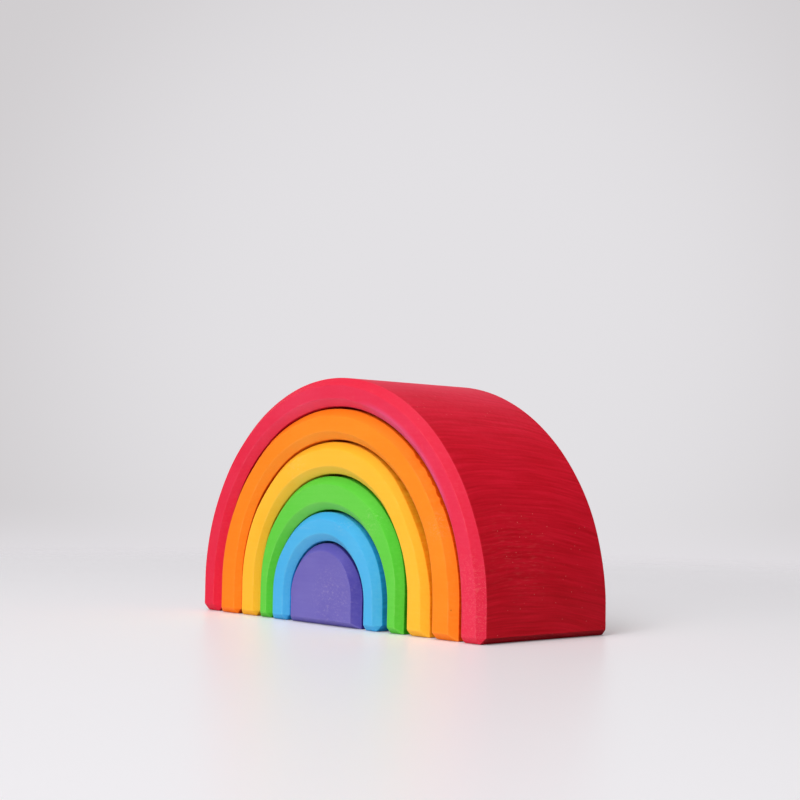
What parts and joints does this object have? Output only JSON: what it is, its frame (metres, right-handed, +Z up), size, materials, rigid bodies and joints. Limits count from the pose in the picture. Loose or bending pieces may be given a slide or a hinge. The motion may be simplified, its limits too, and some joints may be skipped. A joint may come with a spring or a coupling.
{
  "type": "rainbow stacker",
  "caption": "Wooden stacking toy: nested round arches on short straight legs around a half-round core, each a loose piece with chamfered edges.",
  "frame": {"origin": "on the table, under the middle of the stack's box", "axes": "+X along the width of the arches, +Y from the front faces to the back faces, +Z up"},
  "size_m": [0.17, 0.069, 0.0957],
  "materials": {
    "red_stained_wood": "matt water stain with the grain showing",
    "orange_stained_wood": "matt water stain with the grain showing",
    "yellow_stained_wood": "matt water stain with the grain showing",
    "green_stained_wood": "matt water stain with the grain showing",
    "blue_stained_wood": "matt water stain with the grain showing",
    "purple_stained_wood": "matt water stain with the grain showing"
  },
  "bodies": {
    "red_arch": {"red_arch": "red_stained_wood"},
    "orange_arch": {"orange_arch": "orange_stained_wood"},
    "yellow_arch": {"yellow_arch": "yellow_stained_wood"},
    "green_arch": {"green_arch": "green_stained_wood"},
    "blue_arch": {"blue_arch": "blue_stained_wood"},
    "purple_core": {"purple_core": "purple_stained_wood"}
  },
  "joints": [
    {"name": "orange_slide", "type": "slide", "parent": "red_arch", "child": "orange_arch", "axis": [0, -1, 0], "range_m": [-0.08, 0.08]},
    {"name": "yellow_slide", "type": "slide", "parent": "orange_arch", "child": "yellow_arch", "axis": [0, -1, 0], "range_m": [-0.08, 0.08]},
    {"name": "green_slide", "type": "slide", "parent": "yellow_arch", "child": "green_arch", "axis": [0, -1, 0], "range_m": [-0.08, 0.08]},
    {"name": "blue_slide", "type": "slide", "parent": "green_arch", "child": "blue_arch", "axis": [0, -1, 0], "range_m": [-0.08, 0.08]},
    {"name": "purple_slide", "type": "slide", "parent": "blue_arch", "child": "purple_core", "axis": [0, -1, 0], "range_m": [-0.08, 0.08]}
  ]
}
